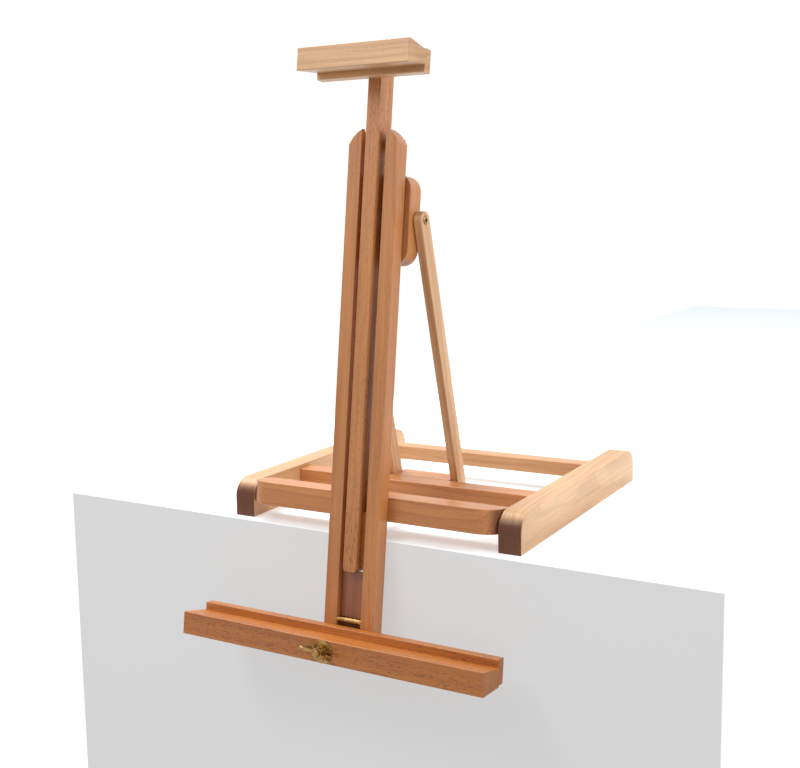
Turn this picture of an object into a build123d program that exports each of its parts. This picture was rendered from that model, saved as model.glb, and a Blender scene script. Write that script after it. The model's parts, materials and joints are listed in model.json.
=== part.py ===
"""Tabletop easel in oiled beech: a low base, a mast that leans back and slides down past the
table's edge, two struts on a sliding block, a canvas tray at the foot and a head on a sliding bar.

Frame: +Z up, -Y towards the painter, origin on the table top at the middle of the base.
"""
from build123d import *
import os
from math import atan2, cos, degrees, hypot, radians, sin

# ---- driving dimensions, in millimetres and degrees ----
base_width = 360.0
base_length = 358.0
rail_width = 26.0
rail_height = 42.0
rail_nose_radius = 21.0
lean = 8.0

base_bar_drop = 4.8
mid_bar_depth = 25.0
mid_bar_height = 34.0
mid_bar_setback = 83.2
rear_bar_depth = 22.0
rear_bar_height = 17.5
rear_bar_inset = 95.0

front_bar_depth = 42.0
front_bar_height = 26.0
front_bar_nose_radius = 21.5
front_bar_pivot_inset = 10.8
front_bar_pivot_drop = 11.8
front_bar_end_gap = 1.0

mast_width = 61.4
mast_depth = 19.1
mast_rail_width = 16.0
mast_bottom = -155.0
mast_length = 559.0
mast_shoulder_radius = 34.0
mast_shoulder_drop = 16.5
mast_bar_gap = 0.15

bar_width = 16.0
bar_depth = 26.8
bar_proud = 4.0
bar_bottom = -67.9
bar_head_drop = 2.1
bar_foot_radius = 4.0
guide_length = 60.0
guide_thickness = 3.8
guide_back_set = 6.8
guide_let_in = 3.0
groove_reach = 3.2
hook_lip = 3.1
hook_groove_width = 2.6

shelf_depth = 36.8
shelf_height = 24.4
strip_thickness = 11.8
strip_end_inset = 1.5
tray_width = 366.0
tray_undercut = 1.8
tray_dish = 4.2
tray_strip_rise = 4.3
tray_strip_step = 2.4
tray_bottom = -155.2
tray_gap = 0.2
head_width = 134.0
head_undercut = 6.0
head_dish = 4.0
head_strip_drop = 1.5
head_strip_step = 1.6
head_rise = 52.8

block_width = 73.5
block_height = 96.5
block_thickness = 23.0
block_drop = 94.5
block_pivot_rise = 1.0
block_pivot_setback = 16.5
block_corner_radius = 17.0
block_mast_gap = 2.0

strut_width = 10.0
strut_depth = 19.0
strut_side_gap = 0.5
foot_block_depth = 30.0
foot_block_height = 29.0
foot_pivot_setback = 18.2
foot_pivot_z = 21.0

panel_gap = 0.6
foot_tie_height = 19.0
foot_tie_thickness = 16.1
stop_rod_radius = 3.3
stop_rod_height = -121.0
bridge_side_inset = 7.2
bridge_height = 12.0
bridge_wall = 4.5
bridge_drop = 9.0

pin_radius = 4.0
dowel_radius = 4.0
peg_length = 36.0
shank_radius = 3.0
screw_radius = 2.0
screw_head_radius = 4.0
screw_head_height = 2.0
cup_head_radius = 4.75
cup_head_height = 2.0
cup_head_sink = 1.2
tray_bolt_radius = 4.0
stud_radius = 3.0
tray_washer_radius = 12.0
clamp_washer_radius = 9.0
washer_thickness = 1.6
tray_nut_span = 18.0
clamp_nut_span = 14.0
nut_hub_radius = 7.2
nut_hub_height = 9.0
knob_radius = 8.0
knob_length = 12.0

bracket_thickness = 1.8
bracket_height = 14.0
bracket_leg_gap = 1.2
bracket_web_gap = 1.8
stud_head_thickness = 1.4

running_gap = 0.05
slide_gap = 0.4
open_pivot_gap = 2.2
ease = 1.0

# ---- places that follow from the sizes; "forward" is square to the mast, from the pivot ----
half_width = base_width / 2
half_length = base_length / 2
inner_half = half_width - rail_width
base_bar_top = rail_height - base_bar_drop
front_bar_pivot_y = front_bar_pivot_inset - half_length
front_bar_pivot_z = rail_height - front_bar_pivot_drop
mid_bar_front = front_bar_pivot_y + mid_bar_setback
rear_bar_front = half_length - rear_bar_inset
mid_bar_back = mid_bar_front + mid_bar_depth
mast_rear = front_bar_depth / 2 + mast_bar_gap
mast_front = mast_rear + mast_depth
mast_top = mast_bottom + mast_length
mast_half = mast_width / 2
channel_half = mast_half - mast_rail_width
bar_front = mast_front + bar_proud
bar_rear = bar_front - bar_depth
bar_half = bar_width / 2
head_bottom = mast_top + head_rise
head_top = head_bottom + shelf_height
bar_length = head_top - bar_head_drop - bar_bottom
groove_half = channel_half + groove_reach
panel_top = bar_bottom - panel_gap
guide_front = mast_front - guide_back_set
guide_rear = guide_front - guide_thickness
hook_groove_rear = mast_rear + hook_lip
hook_groove_front = hook_groove_rear + hook_groove_width
leg_half = bar_half + bracket_leg_gap
bracket_half = leg_half + bracket_thickness
hook_front = hook_groove_front - slide_gap
hook_rear = hook_front - bracket_thickness
hook_half = groove_half - slide_gap
web_front = bar_rear - bracket_web_gap
web_rear = web_front - bracket_thickness
dado_half = bracket_half + slide_gap
tray_back = mast_front + tray_gap
tray_face = tray_back + strip_thickness + shelf_depth
tray_bolt_height = tray_bottom + shelf_height / 2
head_face = bar_front + strip_thickness + shelf_depth
block_front = mast_rear - block_mast_gap
block_rear = block_front - block_thickness
block_centre = mast_top - block_drop
block_pivot_height = block_centre + block_pivot_rise
block_pivot_forward = block_front - block_pivot_setback
foot_pivot_y = mid_bar_back + foot_pivot_setback
strut_inner = block_width / 2 + strut_side_gap
strut_outer = strut_inner + strut_width
foot_tie_front = mast_front
foot_tie_rear = foot_tie_front - foot_tie_thickness
foot_tie_top = mast_bottom + foot_tie_height
bridge_width = mast_width - 2 * bridge_side_inset
bridge_middle = mast_top - bridge_drop - bridge_height / 2
bridge_slot_half = bar_half + slide_gap
bridge_slot_floor = bar_rear - slide_gap
bridge_rear = bridge_slot_floor - bridge_wall
bridge_thickness = mast_rear - bridge_rear
insert_radius = stud_radius + 1.5
cup_recess_radius = cup_head_radius + 0.3

# x across, y up the mast, z forward
mast_plane = Plane(
    origin=(0, front_bar_pivot_y, front_bar_pivot_z),
    x_dir=(1, 0, 0),
    z_dir=(0, -cos(radians(lean)), sin(radians(lean))),
)
up_mast = mast_plane.y_dir
bar_plane = Plane(origin=mast_plane.origin, x_dir=(1, 0, 0), z_dir=up_mast)
forward_axis = Axis(mast_plane.origin, mast_plane.z_dir)
up_axis = Axis(mast_plane.origin, up_mast)
front_bar_pivot = (front_bar_pivot_y, front_bar_pivot_z)
foot_pivot = (foot_pivot_y, foot_pivot_z)
open_pivot_radius = shank_radius + open_pivot_gap
block_pivot = mast_plane.from_local_coords(Vector(0, block_pivot_height, block_pivot_forward))
top_pivot = (block_pivot.Y, block_pivot.Z)
strut_run = block_pivot.Y - foot_pivot_y
strut_rise = block_pivot.Z - foot_pivot_z
strut_length = hypot(strut_run, strut_rise)
strut_angle = degrees(atan2(strut_rise, strut_run))

os.makedirs("parts", exist_ok=True)


def save(piece, name):
    """Label a finished piece and write its STEP file."""
    piece.part.label = name
    export_step(piece.part, f"parts/{name}.step")


def side_plane(x):
    """A plane facing +X at x, with its own x along +Y and its own y along +Z."""
    return Plane(origin=(x, 0, 0), x_dir=(0, 1, 0), z_dir=(1, 0, 0))


def rods_across(points, x, depth, radius):
    """Round lengths along X at points (y, z), from x by a signed depth."""
    with BuildPart() as rods:
        with BuildSketch(side_plane(x)):
            with Locations(*points):
                Circle(radius)
        extrude(amount=depth)
    return rods.part


def rods_forward(points, rear, front, radius):
    """Round lengths square to the mast, between two distances forward."""
    with BuildPart() as rods:
        with BuildSketch(mast_plane.offset(rear)):
            with Locations(*points):
                Circle(radius)
        extrude(amount=front - rear)
    return rods.part


def bar_forward(width, height, place, rear, front):
    """A square-cornered length square to the mast, between two distances forward."""
    with BuildPart() as bar:
        with BuildSketch(mast_plane.offset(rear)):
            with Locations(place):
                Rectangle(width, height)
        extrude(amount=front - rear)
    return bar.part


def screws_forward(points, seat, tip, shank, head):
    """Flat-headed screws square to the mast, from a seat forward to their tips."""
    with BuildPart() as screws:
        add(rods_forward(points, seat, tip, shank))
        add(rods_forward(points, seat, seat + screw_head_height, head))
    return screws


def ease_faces(part, axis, radius):
    """Round the edges of the two end faces along an axis."""
    ends = part.faces().sort_by(axis)
    fillet(ends[0].edges() + ends[-1].edges(), radius)


# ---- base ----
mid_bar_middle = mid_bar_front + mid_bar_depth / 2
mid_bar_centre = base_bar_top - mid_bar_height / 2
rear_bar_middle = rear_bar_front + rear_bar_depth / 2
rear_bar_centre = base_bar_top - rear_bar_height / 2
mid_dowels = [
    (mid_bar_middle, mid_bar_centre - mid_bar_height / 4),
    (mid_bar_middle, mid_bar_centre + mid_bar_height / 4),
]
rear_dowels = [
    (rear_bar_middle - rear_bar_depth / 4, rear_bar_centre),
    (rear_bar_middle + rear_bar_depth / 4, rear_bar_centre),
]
foot_screw_height = base_bar_top - foot_block_height / 2
foot_screw_places = [(-block_width / 8, foot_screw_height), (block_width / 8, foot_screw_height)]
foot_screw_sink = 5.0
foot_block_back = mid_bar_back + foot_block_depth
foot_screw_length = 38.0


def side_rail(side):
    """A side rail with rounded upper corners, a pivot-pin hole and dowel holes."""
    with BuildPart() as rail:
        with BuildSketch(side_plane(side * half_width - (side + 1) / 2 * rail_width)) as profile:
            with Locations((0, rail_height / 2)):
                Rectangle(base_length, rail_height)
            fillet(profile.vertices().group_by(Axis.Y)[-1], rail_nose_radius)
        extrude(amount=rail_width)
        ease_faces(rail, Axis.X, ease)
        inside = side * inner_half
        depth = side * peg_length / 2
        add(rods_across([front_bar_pivot], inside, depth, pin_radius), mode=Mode.SUBTRACT)
        add(rods_across(mid_dowels + rear_dowels, inside, depth, dowel_radius), mode=Mode.SUBTRACT)
    return rail


def base_crossbar(front, depth, height, dowels):
    """A crossbar between the side rails, with dowel holes in both ends."""
    with BuildPart() as crossbar:
        with BuildSketch(side_plane(-inner_half)):
            with Locations((front + depth / 2, base_bar_top - height / 2)):
                Rectangle(depth, height)
        extrude(amount=2 * inner_half)
        fillet(crossbar.edges().filter_by(Axis.X), ease)
        for side in (-1, 1):
            holes = rods_across(dowels, side * inner_half, -side * peg_length / 2, dowel_radius)
            add(holes, mode=Mode.SUBTRACT)
    return crossbar


save(side_rail(-1), "left_side_rail")
save(side_rail(1), "right_side_rail")
save(base_crossbar(rear_bar_front, rear_bar_depth, rear_bar_height, rear_dowels), "rear_crossbar")

with BuildPart() as foot_block_screws:
    sunk_plane = Plane.XZ.offset(foot_screw_sink - foot_block_back)
    with BuildSketch(sunk_plane):
        with Locations(*foot_screw_places):
            Circle(screw_radius)
    extrude(amount=foot_screw_length)
    with BuildSketch(sunk_plane):
        with Locations(*foot_screw_places):
            Circle(screw_head_radius)
    extrude(amount=screw_head_height)
save(foot_block_screws, "foot_block_screws")

with BuildPart() as mid_crossbar:
    add(base_crossbar(mid_bar_front, mid_bar_depth, mid_bar_height, mid_dowels).part)
    add(foot_block_screws.part, mode=Mode.SUBTRACT)
save(mid_crossbar, "mid_crossbar")

with BuildPart() as strut_foot_block:
    with BuildSketch(side_plane(-block_width / 2)):
        with Locations((mid_bar_back + foot_block_depth / 2, foot_screw_height)):
            Rectangle(foot_block_depth, foot_block_height)
    extrude(amount=block_width)
    fillet(strut_foot_block.faces().sort_by(Axis.Y)[-1].edges(), ease)
    for side in (-1, 1):
        outside = side * block_width / 2
        add(rods_across([foot_pivot], outside, -side * strut_depth, shank_radius), mode=Mode.SUBTRACT)
    with BuildSketch(Plane.XZ.offset(-foot_block_back)):
        with Locations(*foot_screw_places):
            Circle(screw_head_radius)
    extrude(amount=foot_screw_sink, mode=Mode.SUBTRACT)
    add(foot_block_screws.part, mode=Mode.SUBTRACT)
save(strut_foot_block, "strut_foot_block")

with BuildPart() as base_dowels:
    for side in (-1, 1):
        with BuildSketch(side_plane(side * inner_half)):
            with Locations(*mid_dowels, *rear_dowels):
                Circle(dowel_radius)
        extrude(amount=peg_length / 2, both=True)
save(base_dowels, "base_dowels")

for side, name in ((-1, "left_crossbar_pin"), (1, "right_crossbar_pin")):
    with BuildPart() as crossbar_pin:
        with BuildSketch(side_plane(side * inner_half)):
            with Locations((front_bar_pivot_y, front_bar_pivot_z)):
                Circle(pin_radius)
        extrude(amount=peg_length / 2, both=True)
    save(crossbar_pin, name)


# ---- front crossbar, which turns on its pins and carries the mast ----
with BuildPart() as front_crossbar:
    with BuildSketch(bar_plane.offset(-front_bar_height / 2)) as profile:
        Rectangle(2 * (inner_half - front_bar_end_gap), front_bar_depth)
        fillet(profile.vertices().group_by(Axis.Y)[0], front_bar_nose_radius)
    extrude(amount=front_bar_height)
    ease_faces(front_crossbar, up_axis, ease)
    for side in (-1, 1):
        depth = -side * (peg_length / 2 + slide_gap)
        pin_bore = rods_across([front_bar_pivot], side * inner_half, depth, pin_radius + running_gap)
        add(pin_bore, mode=Mode.SUBTRACT)
    dado = bar_forward(2 * dado_half, front_bar_height, (0, 0), web_rear, front_bar_depth / 2)
    add(dado, mode=Mode.SUBTRACT)
    add(rods_forward([(0, 0)], -front_bar_depth / 2, web_rear, stud_radius), mode=Mode.SUBTRACT)
save(front_crossbar, "front_crossbar")


# ---- clamps: a bracket that hooks into the mast, a stud, a washer and a wing nut ----
def clamp_bracket(height):
    """A steel stirrup round the back of the sliding bar, hooked into the mast's inner grooves."""
    with BuildPart() as bracket:
        with BuildSketch(mast_plane.offset(web_rear)):
            with Locations((0, height)):
                Rectangle(2 * bracket_half, bracket_height)
        extrude(amount=bracket_thickness)
        with BuildSketch(mast_plane.offset(web_rear)):
            leg_place = leg_half + bracket_thickness / 2
            with Locations((-leg_place, height), (leg_place, height)):
                Rectangle(bracket_thickness, bracket_height)
        extrude(amount=hook_front - web_rear)
        with BuildSketch(mast_plane.offset(hook_rear)):
            hook_place = (leg_half + hook_half) / 2
            with Locations((-hook_place, height), (hook_place, height)):
                Rectangle(hook_half - leg_half, bracket_height)
        extrude(amount=bracket_thickness)
        add(rods_forward([(0, height)], web_rear, web_front, stud_radius), mode=Mode.SUBTRACT)
    return bracket


def clamp_stud(height, seat):
    """A flat-headed stud through the bracket and rearward to past its wing nut."""
    with BuildPart() as stud:
        end = seat - washer_thickness - nut_hub_height - stud_radius
        add(rods_forward([(0, height)], web_front, web_front + stud_head_thickness, 2 * stud_radius))
        add(rods_forward([(0, height)], end, web_front, stud_radius))
        chamfer(stud.faces().sort_by(forward_axis)[0].edges(), 0.5)
    return stud


def washer(height, rear, outer, inner):
    """A flat washer square to the mast, with its edges eased."""
    with BuildPart() as ring:
        add(rods_forward([(0, height)], rear, rear + washer_thickness, outer))
        chamfer(ring.edges().filter_by(GeomType.CIRCLE), 0.25)
        add(rods_forward([(0, height)], rear, rear + washer_thickness, inner), mode=Mode.SUBTRACT)
    return ring


def wing_nut(height, seat, facing, bore, span, turn):
    """A forged wing nut whose hub grows from its seat; facing is 1 forward and -1 rearward."""
    foot = Plane(
        origin=mast_plane.from_local_coords(Vector(0, height, seat)),
        x_dir=(cos(radians(turn)), sin(radians(turn)) * up_mast.Y, sin(radians(turn)) * up_mast.Z),
        z_dir=mast_plane.z_dir * facing,
    )
    with BuildPart() as nut:
        with BuildSketch(foot):
            Circle(nut_hub_radius)
        extrude(amount=nut_hub_height, taper=9)
        for way in (foot.x_dir, -foot.x_dir):
            with BuildSketch(Plane(origin=foot.origin, x_dir=way, z_dir=way.cross(foot.z_dir))):
                with BuildLine():
                    Polyline(
                        (2.6, 1.0), (0.62 * span, 3.4), (span, 9.0), (span, 15.0), (0.78 * span, 15.8),
                        (0.46 * span, 9.6), (2.6, 8.2), close=True,
                    )
                make_face()
            extrude(amount=1.5, both=True)
        tips = nut.edges().filter_by(GeomType.LINE).group_by(Axis(foot.origin, foot.z_dir))
        fillet(tips[-1] + tips[-2], 0.7)
        with BuildSketch(foot):
            Circle(bore)
        extrude(amount=2 * nut_hub_height, mode=Mode.SUBTRACT)
    return nut


crossbar_seat = -front_bar_depth / 2
save(clamp_bracket(0), "crossbar_clamp_bracket")
save(clamp_stud(0, crossbar_seat), "crossbar_clamp_stud")
save(washer(0, crossbar_seat - washer_thickness, clamp_washer_radius, stud_radius), "crossbar_clamp_washer")
save(
    wing_nut(0, crossbar_seat - washer_thickness, -1, stud_radius + running_gap, clamp_nut_span, 0),
    "crossbar_wing_nut",
)
save(clamp_bracket(block_centre), "block_clamp_bracket")
save(clamp_stud(block_centre, block_rear), "block_clamp_stud")
block_seat = block_rear - washer_thickness
save(washer(block_centre, block_seat, clamp_washer_radius, stud_radius), "block_clamp_washer")
save(
    wing_nut(block_centre, block_seat, -1, stud_radius + running_gap, clamp_nut_span, 0),
    "block_wing_nut",
)

# ---- sliding block and the two struts ----
top_screw_reach = 12.0
with BuildPart() as sliding_block:
    with BuildSketch(mast_plane.offset(block_rear)):
        with Locations((0, block_centre)):
            RectangleRounded(block_width, block_height, block_corner_radius)
    extrude(amount=block_thickness)
    ease_faces(sliding_block, forward_axis, ease)
    for side in (-1, 1):
        open_pivot = rods_across([top_pivot], side * block_width / 2, -side * strut_depth, open_pivot_radius)
        add(open_pivot, mode=Mode.SUBTRACT)
    dado = bar_forward(2 * dado_half, block_height, (0, block_centre), web_rear, block_front)
    add(dado, mode=Mode.SUBTRACT)
    add(rods_forward([(0, block_centre)], block_rear, web_rear, stud_radius), mode=Mode.SUBTRACT)
save(sliding_block, "sliding_block")


def strut(side):
    """A strut with round ends, bored to turn on its foot screw and to hold its top screw."""
    with BuildPart() as leg:
        with BuildSketch(side_plane(side * strut_inner - (1 - side) / 2 * strut_width)):
            with Locations((foot_pivot_y + strut_run / 2, foot_pivot_z + strut_rise / 2)):
                SlotCenterToCenter(strut_length, strut_depth, rotation=strut_angle)
        extrude(amount=strut_width)
        ease_faces(leg, Axis.X, ease)
        inside = side * strut_inner
        through = side * strut_width
        add(rods_across([foot_pivot], inside, through, shank_radius + running_gap), mode=Mode.SUBTRACT)
        add(rods_across([top_pivot], inside, through, shank_radius), mode=Mode.SUBTRACT)
        sink = -side * cup_head_sink
        recesses = rods_across([foot_pivot, top_pivot], side * strut_outer, sink, cup_recess_radius)
        add(recesses, mode=Mode.SUBTRACT)
    return leg


def cup_screw(side, place, reach, seat_gap):
    """A brass shoulder screw along X with a rounded head and a hexagon socket."""
    tip = side * (block_width / 2 - reach)
    seat = side * (strut_outer - cup_head_sink + seat_gap)
    rim = seat + side * cup_head_height
    with BuildPart() as screw:
        with BuildSketch(side_plane(tip)):
            with Locations(place):
                Circle(shank_radius)
        extrude(amount=seat - tip)
        with BuildSketch(side_plane(seat)):
            with Locations(place):
                Circle(cup_head_radius)
        extrude(amount=rim - seat)
        fillet(screw.edges().filter_by_position(Axis.X, rim - 0.01, rim + 0.01), 0.9)
        with BuildSketch(side_plane(rim)):
            with Locations(place):
                RegularPolygon(2.1, 6)
        extrude(amount=-side * 1.6, mode=Mode.SUBTRACT)
    return screw


for side, hand in ((-1, "left"), (1, "right")):
    save(strut(side), f"{hand}_strut")
    save(cup_screw(side, foot_pivot, strut_depth, running_gap), f"{hand}_strut_foot_screw")
    save(cup_screw(side, top_pivot, top_screw_reach, 0), f"{hand}_strut_top_screw")


# ---- mast: two grooved rails tied at the foot and at the top ----
bridge_screw_places = [(-(bridge_width / 2 - 3.5), bridge_middle), (bridge_width / 2 - 3.5, bridge_middle)]
bridge_screw_length = 22.0
bridge_screw_head = 3.0
bridge_screw_radius = 1.8
bridge_screw_tip = bridge_rear + bridge_screw_length
bridge_screws = screws_forward(
    bridge_screw_places, bridge_rear, bridge_screw_tip, bridge_screw_radius, bridge_screw_head
)
save(bridge_screws, "bridge_screws")


def mast_rail(side):
    """One mast rail with a rounded shoulder and its guide and hook grooves."""
    with BuildPart() as rail:
        with BuildSketch(mast_plane.offset(mast_rear)):
            inner = side * channel_half
            outer = side * mast_half
            shoulder = mast_top - mast_shoulder_drop
            with BuildLine():
                Polyline((outer, shoulder), (outer, mast_bottom), (inner, mast_bottom), (inner, mast_top))
                RadiusArc((inner, mast_top), (outer, shoulder), side * mast_shoulder_radius)
            make_face()
        extrude(amount=mast_depth)
        ease_faces(rail, forward_axis, 0.8)
        guide_groove = (guide_rear - slide_gap, guide_front + slide_gap)
        for rear, front in (guide_groove, (hook_groove_rear, hook_groove_front)):
            middle = (0, mast_bottom + mast_length / 2)
            groove = bar_forward(2 * groove_half, mast_length, middle, rear, front)
            add(groove, mode=Mode.SUBTRACT)
        add(bridge_screws.part, mode=Mode.SUBTRACT)
    return rail


save(mast_rail(-1), "mast_left_rail")
save(mast_rail(1), "mast_right_rail")

with BuildPart() as mast_foot_panel:
    with BuildSketch(mast_plane.offset(guide_rear)) as face:
        with Locations((0, (panel_top + foot_tie_top) / 2)):
            Rectangle(2 * groove_half, panel_top - foot_tie_top)
    extrude(amount=guide_thickness)
save(mast_foot_panel, "mast_foot_panel")

with BuildPart() as mast_foot_tie:
    with BuildSketch(mast_plane.offset(foot_tie_rear)):
        with Locations((0, mast_bottom + foot_tie_height / 2)):
            Rectangle(2 * channel_half, foot_tie_height)
    extrude(amount=foot_tie_thickness)
    bolt_hole = rods_forward([(0, tray_bolt_height)], foot_tie_rear, foot_tie_front, tray_bolt_radius)
    add(bolt_hole, mode=Mode.SUBTRACT)
save(mast_foot_tie, "mast_foot_tie")

with BuildPart() as stop_rod:
    stop_rod_forward = mast_front - stop_rod_radius - 0.2
    stop_rod_place = mast_plane.from_local_coords(Vector(0, stop_rod_height, stop_rod_forward))
    with BuildSketch(side_plane(-channel_half)):
        with Locations((stop_rod_place.Y, stop_rod_place.Z)):
            Circle(stop_rod_radius)
    extrude(amount=2 * channel_half)
save(stop_rod, "stop_rod")

with BuildPart() as mast_bridge:
    with BuildSketch(mast_plane.offset(bridge_rear)):
        with Locations((0, bridge_middle)):
            Rectangle(bridge_width, bridge_height)
    extrude(amount=bridge_thickness)
    fillet(mast_bridge.faces().sort_by(forward_axis)[0].edges(), ease)
    slot = bar_forward(2 * bridge_slot_half, bridge_height, (0, bridge_middle), bridge_slot_floor, mast_rear)
    add(slot, mode=Mode.SUBTRACT)
    add(rods_forward([(0, bridge_middle)], bridge_rear, bridge_slot_floor, insert_radius), mode=Mode.SUBTRACT)
    add(bridge_screws.part, mode=Mode.SUBTRACT)
save(mast_bridge, "mast_bridge")

with BuildPart() as bridge_insert:
    add(rods_forward([(0, bridge_middle)], bridge_rear, bridge_slot_floor, insert_radius))
    thread = rods_forward([(0, bridge_middle)], bridge_rear, bridge_slot_floor, stud_radius + running_gap)
    add(thread, mode=Mode.SUBTRACT)
save(bridge_insert, "bridge_insert")

knob_front = bridge_rear - 4.0
with BuildPart() as bar_clamp_screw:
    add(rods_forward([(0, bridge_middle)], knob_front - knob_length, knob_front, knob_radius))
    chamfer(bar_clamp_screw.edges().filter_by(GeomType.CIRCLE), 1.2)
    with BuildSketch(mast_plane.offset(knob_front - knob_length)):
        with Locations((0, bridge_middle)):
            with PolarLocations(knob_radius, 16):
                Circle(0.8)
    extrude(amount=knob_length, mode=Mode.SUBTRACT)
    add(rods_forward([(0, bridge_middle)], knob_front, bridge_slot_floor, stud_radius))
save(bar_clamp_screw, "bar_clamp_screw")

with BuildPart() as tray_bolt:
    add(rods_forward([(0, tray_bolt_height)], mast_rear, foot_tie_rear, 2 * tray_bolt_radius))
    fillet(tray_bolt.faces().sort_by(forward_axis)[0].edges(), 1.5)
    end = tray_face + washer_thickness + nut_hub_height + stud_radius
    add(rods_forward([(0, tray_bolt_height)], foot_tie_rear, end, tray_bolt_radius))
    chamfer(tray_bolt.faces().sort_by(forward_axis)[-1].edges(), 0.6)
save(tray_bolt, "tray_bolt")


# ---- shelves: the tray and the head are each a block with a strip behind it ----
def shelf_block(bottom, rear, width, undercut, dish):
    """The solid block of a tray or a head; its underside and its top draw in towards the mast."""
    corner = mast_plane.from_local_coords(Vector(-width / 2, bottom, rear))
    with BuildPart() as block:
        with BuildSketch(Plane(origin=corner, x_dir=up_mast, z_dir=(1, 0, 0))):
            with BuildLine():
                front_edge = ((0, shelf_depth), (shelf_height, shelf_depth))
                Polyline(*front_edge, (shelf_height - dish, 0), (undercut, 0), close=True)
            make_face()
        extrude(amount=width)
        fillet(block.faces().sort_by(forward_axis)[-1].edges(), 0.8)
    return block


def shelf_strip(bottom, rear, width, low, high):
    """The strip behind a shelf block: low below its bottom and high above its top."""
    with BuildPart() as strip:
        with BuildSketch(mast_plane.offset(rear)):
            with Locations((0, bottom + (shelf_height - low + high) / 2)):
                Rectangle(width - 2 * strip_end_inset, shelf_height + low + high)
        extrude(amount=strip_thickness)
        fillet(strip.edges().filter_by(Axis.X), 0.9)
    return strip


screw_span = tray_width / 2
tray_screw_places = [(share * screw_span, tray_bolt_height) for share in (-0.84, -0.36, 0.36, 0.84)]
tray_screw_tip = tray_back + strip_thickness + shelf_depth / 2
tray_screws = screws_forward(tray_screw_places, tray_back, tray_screw_tip, screw_radius, screw_head_radius)
tray_bore = rods_forward([(0, tray_bolt_height)], tray_back, tray_face, tray_bolt_radius + running_gap)
save(tray_screws, "tray_screws")

with BuildPart() as tray_block:
    block_back = tray_back + strip_thickness
    add(shelf_block(tray_bottom, block_back, tray_width, tray_undercut, tray_dish).part)
    add(tray_bore, mode=Mode.SUBTRACT)
    add(tray_screws.part, mode=Mode.SUBTRACT)
save(tray_block, "tray_block")

with BuildPart() as tray_back_strip:
    add(shelf_strip(tray_bottom, tray_back, tray_width, -tray_strip_step, tray_strip_rise).part)
    add(tray_bore, mode=Mode.SUBTRACT)
    add(tray_screws.part, mode=Mode.SUBTRACT)
save(tray_back_strip, "tray_back_strip")

save(washer(tray_bolt_height, tray_face, tray_washer_radius, tray_bolt_radius + running_gap), "tray_washer")
tray_seat = tray_face + washer_thickness
save(
    wing_nut(tray_bolt_height, tray_seat, 1, tray_bolt_radius + running_gap, tray_nut_span, -16),
    "tray_wing_nut",
)

# ---- holder: the sliding bar with its guides and the head ----
head_screw_places = [(0, head_bottom + 9.2), (0, head_top - 6.8)]
head_screw_tip = bar_front + strip_thickness + shelf_depth / 2
head_screws = screws_forward(head_screw_places, bar_rear, head_screw_tip, screw_radius, screw_head_radius)
save(head_screws, "head_screws")

with BuildPart() as head_block:
    block_back = bar_front + strip_thickness
    add(shelf_block(head_bottom, block_back, head_width, head_undercut, head_dish).part)
    add(head_screws.part, mode=Mode.SUBTRACT)
save(head_block, "head_block")

with BuildPart() as head_back_strip:
    add(shelf_strip(head_bottom, bar_front, head_width, head_strip_drop, -head_strip_step).part)
    add(head_screws.part, mode=Mode.SUBTRACT)
save(head_back_strip, "head_back_strip")

guide_middle = bar_bottom + bar_foot_radius + guide_length / 2
guide_width = groove_half - slide_gap - bar_half + guide_let_in
guide_place = bar_half - guide_let_in + guide_width / 2
for side, name in ((-1, "left_bar_guide"), (1, "right_bar_guide")):
    with BuildPart() as bar_guide:
        with BuildSketch(mast_plane.offset(guide_rear)):
            with Locations((side * guide_place, guide_middle)):
                Rectangle(guide_width, guide_length)
        extrude(amount=guide_thickness)
    save(bar_guide, name)

with BuildPart() as holder_bar:
    with BuildSketch(mast_plane.offset(bar_rear)) as face:
        with Locations((0, bar_bottom + bar_length / 2)):
            Rectangle(bar_width, bar_length)
        fillet(face.vertices().group_by(Axis.Y)[0], bar_foot_radius)
    extrude(amount=bar_depth)
    ease_faces(holder_bar, forward_axis, 0.8)
    with BuildSketch(mast_plane.offset(guide_rear)):
        with Locations((-guide_place, guide_middle), (guide_place, guide_middle)):
            Rectangle(guide_width, guide_length)
    extrude(amount=guide_thickness, mode=Mode.SUBTRACT)
    add(head_screws.part, mode=Mode.SUBTRACT)
save(holder_bar, "holder_bar")
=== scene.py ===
"""Looks for a tabletop easel: oiled beech boards, brass and steel fittings, a pale table as the stage."""

import json
import math

import bmesh
import bpy
from bpy.props import FloatProperty, FloatVectorProperty, PointerProperty
from mathutils import Matrix, Vector


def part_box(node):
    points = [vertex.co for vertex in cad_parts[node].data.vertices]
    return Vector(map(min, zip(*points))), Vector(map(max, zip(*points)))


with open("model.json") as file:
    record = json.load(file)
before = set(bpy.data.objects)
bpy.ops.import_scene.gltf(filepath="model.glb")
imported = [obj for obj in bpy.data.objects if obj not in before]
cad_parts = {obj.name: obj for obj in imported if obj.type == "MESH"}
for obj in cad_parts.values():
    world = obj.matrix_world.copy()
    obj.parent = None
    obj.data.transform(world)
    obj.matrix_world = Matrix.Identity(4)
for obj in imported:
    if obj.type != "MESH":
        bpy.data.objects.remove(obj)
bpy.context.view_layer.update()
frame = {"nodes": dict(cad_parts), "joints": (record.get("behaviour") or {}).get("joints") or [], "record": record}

bl_info = {
    "name": "Tabletop Easel",
    "version": (1, 0, 0),
    "blender": (4, 5, 0),
    "location": "3D View > Sidebar > Easel",
    "description": "Dresses a tabletop easel in beech, brass and steel and sets it on a pale table",
    "category": "Object",
}

JOINTS = {joint["name"]: joint for joint in frame["joints"]}
X = Vector((1, 0, 0))
Y = Vector((0, 1, 0))
Z = Vector((0, 0, 1))
UP_MAST = Vector(JOINTS["mast_height"]["axis"]).normalized()


def middle(node):
    """The middle of a node's box."""
    low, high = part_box(node)
    return (Vector(low) + Vector(high)) / 2


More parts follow.
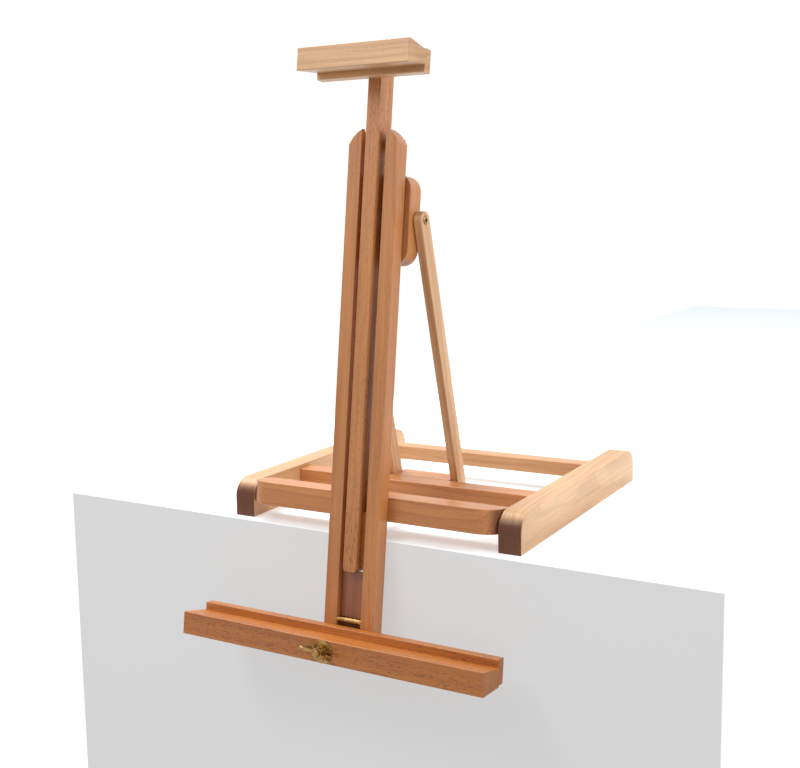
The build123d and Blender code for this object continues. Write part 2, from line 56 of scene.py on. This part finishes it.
# Figure of the beech: cells per metre along the grain, then across it.
WANDER = (5.0, 14.0)
RIPPLE = (28.0, 60.0)
STREAK = (9.0, 420.0)
CLOUD = (6.0, 30.0)
PORES = (300.0, 900.0)
RIPPLE_SIZE = 0.0012
SEED_STEPS = (0.37, 0.011, 0.007)
LIGHT_RISE = 1.22
DARK_FALL = (0.77, 0.63, 0.53)
END_RISE = 1.4
OIL_COAT = 0.25
OIL_ROUGHNESS = 0.3

# Marks on the metals, which also serve as painted dark reflections, in cells per metre.
MARKS_AND_REFLECTION = 260.0
SCUFFS = 1400.0

# The table, in metres: its height, how far it reaches back, and its eased edges.
TABLE_HEIGHT = 1.2
TABLE_BACK = 2.6
TABLE_EASING = 0.0015

# Each light: where it stands, what it faces and the side of its square.
SIDE_LIGHT = ((2.0, 0.1, 1.5), (0, -0.1, 0.15), 1.6)
TOP_LIGHT = ((-0.8, 0.1, 1.7), (0, 0, 0), 0.9)
FRONT_LIGHT = ((-0.5, -1.15, 1.25), (0, -0.1, 0.4), 0.6)


def hexcolour(text):
    """A six-digit web colour as linear RGBA."""
    parts = [int(text[i:i + 2], 16) / 255 for i in (0, 2, 4)]
    return tuple(c / 12.92 if c <= 0.04045 else ((c + 0.055) / 1.055) ** 2.4 for c in parts) + (1.0,)


STRUT_WAY = middle("right_strut_top_screw") - middle("right_strut_foot_screw")
STRUT_WAY = Vector((0, STRUT_WAY.y, STRUT_WAY.z)).normalized()


# ---- shader graphs ----
class Wire:
    """An output socket. Arithmetic on it adds Math nodes to its graph."""

    def __init__(self, graph, socket):
        self.graph = graph
        self.socket = socket

    def math(self, operation, first, second=None):
        sockets = {0: first}
        if second is not None:
            sockets[1] = second
        return self.graph.node("ShaderNodeMath", {"operation": operation}, sockets)

    def __add__(self, other):
        return self.math("ADD", self, other)

    def __radd__(self, other):
        return self.math("ADD", other, self)

    def __sub__(self, other):
        return self.math("SUBTRACT", self, other)

    def __mul__(self, other):
        return self.math("MULTIPLY", self, other)

    def __rmul__(self, other):
        return self.math("MULTIPLY", other, self)

    def __truediv__(self, other):
        return self.math("DIVIDE", self, other)

    def __pow__(self, other):
        return self.math("POWER", self, other)

    def __abs__(self):
        return self.math("ABSOLUTE", self)

    def clamped(self):
        return self.math("MINIMUM", self.math("MAXIMUM", self, 0.0), 1.0)

    def ramp(self, low, high):
        """Smooth 0 to 1 as the value goes from low to high."""
        sockets = {"Value": self, "From Min": low, "From Max": high}
        return self.graph.node("ShaderNodeMapRange", {"interpolation_type": "SMOOTHSTEP"}, sockets)


class Graph:
    """The node tree of one material."""

    def __init__(self, name):
        self.material = bpy.data.materials.new(name)
        self.material.use_nodes = True
        self.tree = self.material.node_tree
        self.tree.nodes.clear()

    def node(self, kind, settings=None, sockets=None, output=0):
        """Adds a node: its settings first, then the values or links of its sockets."""
        made = self.tree.nodes.new(kind)
        for key, value in (settings or {}).items():
            setattr(made, key, value)
        for key, value in (sockets or {}).items():
            if isinstance(value, Wire):
                self.tree.links.new(value.socket, made.inputs[key])
            else:
                made.inputs[key].default_value = value
        return Wire(self, made.outputs[output])

    def dot(self, vector, way):
        settings = {"operation": "DOT_PRODUCT"}
        return self.node("ShaderNodeVectorMath", settings, {0: vector, 1: tuple(way)}, output="Value")

    def vector(self, x, y, z):
        return self.node("ShaderNodeCombineXYZ", None, {"X": x, "Y": y, "Z": z})

    def noise(self, vector, detail=2.0, rough=0.5):
        sockets = {"Vector": vector, "Scale": 1.0, "Detail": detail, "Roughness": rough}
        return self.node("ShaderNodeTexNoise", None, sockets)

    def mix(self, amount, first, second):
        return self.node("ShaderNodeMix", {"data_type": "RGBA"}, {0: amount, 6: first, 7: second}, output=2)


def graph_output(graph, shader):
    """Joins a shader to the material's output."""
    out = graph.tree.nodes.new("ShaderNodeOutputMaterial")
    graph.tree.links.new(shader.socket, out.inputs["Surface"])


# ---- properties ----
def colour(name, description, default):
    """A linear colour property from a web colour."""
    value = hexcolour(default)[:3]
    return FloatVectorProperty(
        name=name, description=description, subtype="COLOR", size=3, min=0, max=1, default=value,
    )


class EaselWood(bpy.types.PropertyGroup):
    """Colours and figure of the beech."""

    pale: colour("Pale beech", "Lightest boards: base rails, struts and the head", "CCA376")
    warm: colour("Warm beech", "Mast, bar and crossbars", "BD7F48")
    straw: colour("Straw beech", "Rear crossbar", "C49363")
    deep: colour("Deep beech", "Reddest boards: the tray", "B36E2A")
    # Painted shade: this darker tone stands in for the shade in the mast channel's recess, where the foot panel
    # sits.
    dark: colour("Dark beech", "The panel at the mast's foot", "8C5636")
    fleck: colour("Fleck", "The short dark rays along the grain", "74380C")
    # Very dark end tone: partly the end grain's own colour, partly painted shade for the rail noses, which stand
    # in shadow.
    end: colour("End grain", "Sawn and rounded ends", "4C1C06")
    ring_width: FloatProperty(
        name="Ring width", description="Width of one growth ring", default=0.0042, unit="LENGTH", min=0.001,
    )
    fleck_length: FloatProperty(
        name="Fleck length", description="Length of a ray fleck along the grain", default=0.005,
        unit="LENGTH", min=0.0005,
    )
    fleck_width: FloatProperty(
        name="Fleck width", description="Width of a ray fleck", default=0.0009, unit="LENGTH", min=0.0001,
    )


class EaselMetal(bpy.types.PropertyGroup):
    """Colours of the fittings."""

    # The brass tone is set darker than bright brass, partly as painted dark reflection.
    brass: colour("Brass", "Washers, wing nuts, cup screws and the stop rod", "A5834F")
    steel: colour("Steel", "Studs, pins, brackets and wood screws", "B4B6B8")


class EaselStage(bpy.types.PropertyGroup):
    """The table, the lights and the camera."""

    edge: FloatProperty(
        name="Table edge", description="How far the table reaches in front of the base's middle",
        default=0.1925, unit="LENGTH",
    )
    left: FloatProperty(
        name="Table left", description="Left end of the table", default=0.431, unit="LENGTH",
    )
    right: FloatProperty(
        name="Table right", description="Right end of the table", default=0.391, unit="LENGTH",
    )
    table_turn: FloatProperty(
        name="Table turn", description="How far the table is turned under the easel", subtype="ANGLE",
        default=-0.0105,
    )
    side_light: FloatProperty(
        name="Side light", description="Large light on the right", default=32.0, unit="POWER",
    )
    top_light: FloatProperty(
        name="Top light", description="Light above on the left", default=30.0, unit="POWER",
    )
    front_light: FloatProperty(
        name="Front light", description="Light high in front", default=8.0, unit="POWER",
    )
    fill: FloatProperty(name="Sky", description="Strength of the white surroundings", default=0.5)
    sheen: FloatProperty(name="Sheen", description="Strength of the surroundings in reflections", default=1.2)
    white: FloatProperty(
        name="White", description="Strength of the surroundings behind the easel", default=1.05,
    )
    camera_place: FloatVectorProperty(
        name="Camera", description="Where the camera stands", size=3, subtype="TRANSLATION", unit="LENGTH",
        default=(0.6306, -1.2162, 0.3564),
    )
    camera_turn: FloatProperty(
        name="Turn", description="Camera's turn about the vertical", subtype="ANGLE",
        default=math.radians(29.56),
    )
    camera_dip: FloatProperty(
        name="Dip", description="Camera's tilt below the level", subtype="ANGLE", default=math.radians(7.77),
    )
    camera_roll: FloatProperty(
        name="Roll", description="Camera's roll", subtype="ANGLE", default=math.radians(-0.9),
    )
    lens: FloatProperty(name="Lens", description="Focal length on a 36 mm sensor", default=51.63)
    shift: FloatProperty(
        name="Shift", description="Camera's shift up, as a share of its width", default=-0.0302,
    )


# ---- materials ----
def beech(name, along, across, tone, seed, pith=(0.03, -0.05), slope=0.012, fleck=1.0, ends=0.5):
    """Oiled beech with its grain along one way. pith is where the tree's heart lies in the board's section,
    slope how much the rings wander, fleck how strong the rays are and ends how dark the end grain is painted:
    partly the end grain's own darker tone, partly painted shade on ends that stand out of the light."""
    wood = bpy.context.scene.easel_wood
    deep = along.cross(across)
    tone = Vector(tone)
    g = Graph(name)
    place = g.node("ShaderNodeTexCoord", output="Object")
    s = g.dot(place, along) + seed * SEED_STEPS[0]
    a = g.dot(place, across) + seed * SEED_STEPS[1]
    d = g.dot(place, deep) - seed * SEED_STEPS[2]

    def cells(size):
        return g.vector(s * size[0], a * size[1], d * size[1])

    wander = g.noise(cells(WANDER), 2.0) - 0.5
    ripple = g.noise(cells(RIPPLE), 2.0) - 0.5
    off_a = a - pith[0]
    off_d = d - pith[1]
    radius = (off_a * off_a + off_d * off_d) ** 0.5
    radius = radius + wander * slope + ripple * RIPPLE_SIZE + s * slope * 0.4
    turns = radius / wood.ring_width
    sockets = {"W": turns, "Scale": 1.0, "Detail": 3.0, "Roughness": 0.6}
    ring = g.node("ShaderNodeTexNoise", {"noise_dimensions": "1D"}, sockets).ramp(0.3, 0.7)
    streak = g.noise(cells(STREAK), 3.0, 0.6)
    cloud = g.noise(cells(CLOUD), 2.0)
    dash = g.noise(g.vector(s / wood.fleck_length, a / wood.fleck_width, d / wood.fleck_width), 1.0, 0.4)
    flecks = dash.ramp(0.57, 0.68) * (0.35 + 0.65 * cloud.ramp(0.35, 0.65)) * fleck
    normal = g.node("ShaderNodeTexCoord", output="Normal")
    endness = abs(g.dot(normal, along)).ramp(0.55, 0.95)
    light = tuple(min(1.0, c * LIGHT_RISE) for c in tone) + (1.0,)
    dark = tuple(c * f for c, f in zip(tone, DARK_FALL)) + (1.0,)
    figure = (ring * 0.45 + streak.ramp(0.3, 0.7) * 0.30 + cloud.ramp(0.3, 0.7) * 0.25).clamped()
    base = g.mix(figure, light, dark)
    base = g.mix((flecks * 0.55).clamped(), base, tuple(wood.fleck) + (1.0,))
    pores = g.noise(cells(PORES), 1.0)
    pale_end = tuple(c * END_RISE for c in wood.end) + (1.0,)
    end = g.mix(ring * 0.5 + pores * 0.3, pale_end, tuple(wood.end) + (1.0,))
    # End grain darkening: partly real end grain, partly painted shade set per part by how lit its ends are.
    base = g.mix(endness * ends, base, end)
    rough = 0.40 + 0.14 * streak + 0.4 * endness * ends
    relief = streak * 0.5 + pores * 0.25 - flecks * 0.8
    bump = g.node("ShaderNodeBump", None, {"Strength": 0.22, "Distance": 0.0004, "Height": relief})
    sockets = {"Base Color": base, "Roughness": rough, "Normal": bump}
    sockets.update({"Coat Weight": OIL_COAT, "Coat Roughness": OIL_ROUGHNESS})
    return principled(g, sockets)


def principled(g, sockets):
    """Closes a graph with a Principled shader."""
    graph_output(g, g.node("ShaderNodeBsdfPrincipled", None, sockets))
    return g.material


def metal(name, tint, rough):
    """Bare metal with handling marks and painted reflection: soft darker patches that stand partly for marks and
    partly for dark reflections, and a variation of gloss.
    """
    g = Graph(name)
    place = g.node("ShaderNodeTexCoord", output="Object")

    def scaled(size):
        return g.node("ShaderNodeVectorMath", {"operation": "SCALE"}, {0: place, "Scale": size})

    marks_and_reflection = g.noise(scaled(MARKS_AND_REFLECTION), 3.0, 0.6)
    scuffs = g.noise(scaled(SCUFFS), 2.0)
    tint = tuple(tint)
    # Darker patches: partly handling marks, partly painted dark reflection.
    base = g.mix(marks_and_reflection.ramp(0.35, 0.7), tint + (1.0,), tuple(c * 0.5 for c in tint) + (1.0,))
    bump = g.node("ShaderNodeBump", None, {"Strength": 0.15, "Distance": 0.0002, "Height": scuffs})
    sockets = {"Base Color": base, "Metallic": 1.0, "Roughness": rough + 0.18 * marks_and_reflection, "Normal": bump}
    return principled(g, sockets)


def paint(node, material):
    """Gives a frame node one material."""
    mesh = frame["nodes"][node].data
    mesh.materials.clear()
    mesh.materials.append(material)


def smooth(node):
    """Shades every face of a frame node smoothly."""
    thing = frame["nodes"][node]
    for face in thing.data.polygons:
        face.use_smooth = True


# ---- operators ----
class EASEL_OT_base(bpy.types.Operator):
    """Dress the base: side rails, crossbars, foot block and dowels"""

    bl_idname = "easel.base"
    bl_label = "Base"

    def execute(self, context):
        wood = context.scene.easel_wood
        # ends=0.95 darkens the rail noses: partly end grain, partly painted shade on the unlit noses.
        left = beech("rail wood left", Y, Z, wood.pale, 1.0, (0.05, 0.02), fleck=0.3, ends=0.95)
        right = beech("rail wood right", Y, Z, wood.pale, 2.0, (0.012, -0.05), 0.03, fleck=0.3, ends=0.95)
        paint("left_side_rail", left)
        paint("right_side_rail", right)
        paint("mid_crossbar", beech("mid bar wood", X, Y, wood.warm, 3.0, fleck=0.5))
        paint("rear_crossbar", beech("rear bar wood", X, Z, wood.straw, 4.0, fleck=0.3))
        paint("strut_foot_block", beech("foot block wood", X, Y, wood.warm, 5.0))
        paint("base_dowels", beech("dowel wood", X, Y, wood.pale, 6.0))
        return {"FINISHED"}


class EASEL_OT_front_bar(bpy.types.Operator):
    """Dress the turning front crossbar"""

    bl_idname = "easel.front_bar"
    bl_label = "Front crossbar"

    def execute(self, context):
        wood = context.scene.easel_wood
        bar = beech("front bar wood", X, UP_MAST, wood.warm, 7.0, (0.03, 0.03), fleck=0.4, ends=0.8)
        paint("front_crossbar", bar)
        return {"FINISHED"}


class EASEL_OT_struts(bpy.types.Operator):
    """Dress the two struts and the sliding block"""

    bl_idname = "easel.struts"
    bl_label = "Struts and block"

    def execute(self, context):
        wood = context.scene.easel_wood
        paint("left_strut", beech("strut wood left", STRUT_WAY, X, wood.pale, 8.0, fleck=0.3))
        paint("right_strut", beech("strut wood right", STRUT_WAY, X, wood.pale, 9.0, fleck=0.3))
        paint("sliding_block", beech("block wood", UP_MAST, X, wood.warm, 10.0))
        return {"FINISHED"}


class EASEL_OT_mast(bpy.types.Operator):
    """Dress the mast: its two rails, foot panel, foot tie and top bridge"""

    bl_idname = "easel.mast"
    bl_label = "Mast"

    def execute(self, context):
        wood = context.scene.easel_wood
        left = beech("mast wood left", UP_MAST, X, wood.warm, 11.0, (-0.04, 0.05), fleck=0.5)
        right = beech("mast wood right", UP_MAST, X, wood.warm, 12.0, (0.02, -0.012), 0.03, fleck=0.5)
        paint("mast_left_rail", left)
        paint("mast_right_rail", right)
        # The foot panel gets the darker tone as painted shade for its recess in the channel.
        paint("mast_foot_panel", beech("shaded panel wood", UP_MAST, X, wood.dark, 13.0))
        paint("mast_foot_tie", beech("foot tie wood", X, UP_MAST, wood.warm, 14.0))
        paint("mast_bridge", beech("bridge wood", X, UP_MAST, wood.warm, 15.0))
        return {"FINISHED"}


class EASEL_OT_holder(bpy.types.Operator):
    """Dress the sliding bar, its guides and the head"""

    bl_idname = "easel.holder"
    bl_label = "Holder"

    def execute(self, context):
        wood = context.scene.easel_wood
        paint("holder_bar", beech("bar wood", UP_MAST, X, wood.warm, 16.0, (0.05, 0.05), fleck=1.6))
        paint("left_bar_guide", beech("guide wood left", UP_MAST, X, wood.warm, 17.0))
        paint("right_bar_guide", beech("guide wood right", UP_MAST, X, wood.warm, 18.0))
        paint("head_block", beech("head wood", X, UP_MAST, wood.pale, 19.0, fleck=0.6, ends=0.15))
        paint("head_back_strip", beech("head strip wood", X, UP_MAST, wood.pale, 20.0, fleck=0.6, ends=0.15))
        return {"FINISHED"}


class EASEL_OT_tray(bpy.types.Operator):
    """Dress the tray's block and strip"""

    bl_idname = "easel.tray"
    bl_label = "Tray"

    def execute(self, context):
        wood = context.scene.easel_wood
        paint("tray_block", beech("tray wood", X, UP_MAST, wood.deep, 21.0, fleck=1.7, ends=0.25))
        paint("tray_back_strip", beech("tray strip wood", X, UP_MAST, wood.deep, 22.0, fleck=1.6, ends=0.25))
        return {"FINISHED"}


class EASEL_OT_fittings(bpy.types.Operator):
    """Dress the brass and steel fittings"""

    bl_idname = "easel.fittings"
    bl_label = "Fittings"

    def execute(self, context):
        metals = context.scene.easel_metal
        finishes = {
            "brass": metal("polished brass", metals.brass, 0.16),
            "steel": metal("zinc steel", metals.steel, 0.3),
        }
        for part in frame["record"]["subparts"]:
            if part["material_slot"] in finishes:
                paint(part["node"], finishes[part["material_slot"]])
                smooth(part["node"])
        return {"FINISHED"}


def block_mesh(name, low, high, material, bevel):
    """A box with bevelled edges, for the stage."""
    mesh = bpy.data.meshes.new(name)
    bm = bmesh.new()
    bmesh.ops.create_cube(bm, size=1.0)
    size = Vector(high) - Vector(low)
    for vert in bm.verts:
        vert.co = Vector(low) + Vector((vert.co[i] + 0.5) * size[i] for i in range(3))
    bmesh.ops.bevel(bm, geom=bm.edges[:], offset=bevel, segments=3, affect="EDGES", profile=0.5)
    bm.to_mesh(mesh)
    bm.free()
    thing = bpy.data.objects.new(name, mesh)
    bpy.context.scene.collection.objects.link(thing)
    mesh.materials.append(material)
    return thing


def glowing_table():
    """The table's surface with painted light: faces pointing up or to either side are painted lit white and the
    front light grey, every face glows without a lamp, and the white is tinted blue so shadows on the top read
    cool.
    """
    g = Graph("pale table")
    normal = g.node("ShaderNodeTexCoord", output="Normal")
    # Painted light: mask of the faces pointing up or sideways, which are painted as lit; the front stays grey.
    top = (g.dot(normal, Z).ramp(0.4, 0.9) + abs(g.dot(normal, X)).ramp(0.4, 0.9)).clamped()
    # Painted light: bluish white for the lit faces so their shadows stay cool, dark grey for the front.
    body = g.mix(top, (0.30, 0.30, 0.30, 1), (0.72, 0.80, 0.86, 1))
    # Painted light: a glow that makes the table read evenly lit without a lamp.
    painted_glow = g.mix(top, (0.48, 0.48, 0.48, 1), (0.40, 0.40, 0.40, 1))
    diffuse = g.node("ShaderNodeBsdfDiffuse", None, {"Color": body})
    glow = g.node("ShaderNodeEmission", None, {"Color": painted_glow, "Strength": 1.0})
    graph_output(g, g.node("ShaderNodeAddShader", None, {0: diffuse, 1: glow}))
    return g.material


def area_light(name, place, target, size, power):
    """A soft square light at a place, facing a target."""
    lamp = bpy.data.lights.new(name, "AREA")
    lamp.shape = "SQUARE"
    lamp.size = size
    lamp.energy = power
    thing = bpy.data.objects.new(name, lamp)
    thing.location = place
    thing.rotation_euler = (Vector(target) - Vector(place)).to_track_quat("-Z", "Y").to_euler()
    bpy.context.scene.collection.objects.link(thing)


class EASEL_OT_stage(bpy.types.Operator):
    """Set the table, the lights, the white surroundings and the camera"""

    bl_idname = "easel.stage"
    bl_label = "Stage"

    def execute(self, context):
        scene = context.scene
        stage = scene.easel_stage
        low = (-stage.left, -stage.edge, -TABLE_HEIGHT)
        high = (stage.right, TABLE_BACK, 0.0)
        table = block_mesh("table", low, high, glowing_table(), TABLE_EASING)
        table.rotation_euler.z = stage.table_turn

        world = bpy.data.worlds.new("surroundings")
        world.use_nodes = True
        tree = world.node_tree
        background = tree.nodes["Background"]
        ray = tree.nodes.new("ShaderNodeLightPath")
        gloss = tree.nodes.new("ShaderNodeMix")
        gloss.inputs["A"].default_value = stage.fill
        gloss.inputs["B"].default_value = stage.sheen
        tree.links.new(ray.outputs["Is Glossy Ray"], gloss.inputs["Factor"])
        blend = tree.nodes.new("ShaderNodeMix")
        blend.inputs["B"].default_value = stage.white
        tree.links.new(gloss.outputs["Result"], blend.inputs["A"])
        tree.links.new(ray.outputs["Is Camera Ray"], blend.inputs["Factor"])
        tree.links.new(blend.outputs["Result"], background.inputs["Strength"])
        background.inputs["Color"].default_value = (1, 1, 1, 1)
        scene.world = world
        scene.view_settings.view_transform = "Standard"

        area_light("side light", *SIDE_LIGHT, stage.side_light)
        area_light("top light", *TOP_LIGHT, stage.top_light)
        area_light("front light", *FRONT_LIGHT, stage.front_light)

        turn, dip, roll = stage.camera_turn, stage.camera_dip, stage.camera_roll
        right = Vector((math.cos(turn), math.sin(turn), 0))
        ahead = Vector((-math.sin(turn) * math.cos(dip), math.cos(turn) * math.cos(dip), -math.sin(dip)))
        up = right.cross(ahead)
        across = right * math.cos(roll) + up * math.sin(roll)
        upward = -right * math.sin(roll) + up * math.cos(roll)
        data = bpy.data.cameras.new("camera")
        data.lens = stage.lens
        data.sensor_width = 36.0
        data.shift_y = stage.shift
        camera = bpy.data.objects.new("camera", data)
        columns = Matrix((across, upward, -ahead)).transposed()
        camera.matrix_world = Matrix.Translation(stage.camera_place) @ columns.to_4x4()
        scene.collection.objects.link(camera)
        scene.camera = camera
        return {"FINISHED"}


class EASEL_PT_panel(bpy.types.Panel):
    """The easel's buttons in the 3D view's sidebar."""

    bl_idname = "EASEL_PT_panel"
    bl_label = "Easel"
    bl_space_type = "VIEW_3D"
    bl_region_type = "UI"
    bl_category = "Easel"

    def draw(self, context):
        for step in STEPS:
            self.layout.operator(step.bl_idname)


GROUPS = {"easel_wood": EaselWood, "easel_metal": EaselMetal, "easel_stage": EaselStage}
STEPS = (
    EASEL_OT_base,
    EASEL_OT_front_bar,
    EASEL_OT_struts,
    EASEL_OT_mast,
    EASEL_OT_holder,
    EASEL_OT_tray,
    EASEL_OT_fittings,
    EASEL_OT_stage,
)


def register():
    """Registers the property groups, the operators and the panel."""
    for name, group in GROUPS.items():
        bpy.utils.register_class(group)
        setattr(bpy.types.Scene, name, PointerProperty(type=group))
    for step in STEPS:
        bpy.utils.register_class(step)
    bpy.utils.register_class(EASEL_PT_panel)


def unregister():
    """Removes what register added."""
    bpy.utils.unregister_class(EASEL_PT_panel)
    for step in reversed(STEPS):
        bpy.utils.unregister_class(step)
    for name, group in GROUPS.items():
        delattr(bpy.types.Scene, name)
        bpy.utils.unregister_class(group)


def main():
    """Runs every step."""
    register()
    for step in STEPS:
        family, name = step.bl_idname.split(".")
        getattr(getattr(bpy.ops, family), name)()


if __name__ == "__main__":
    main()
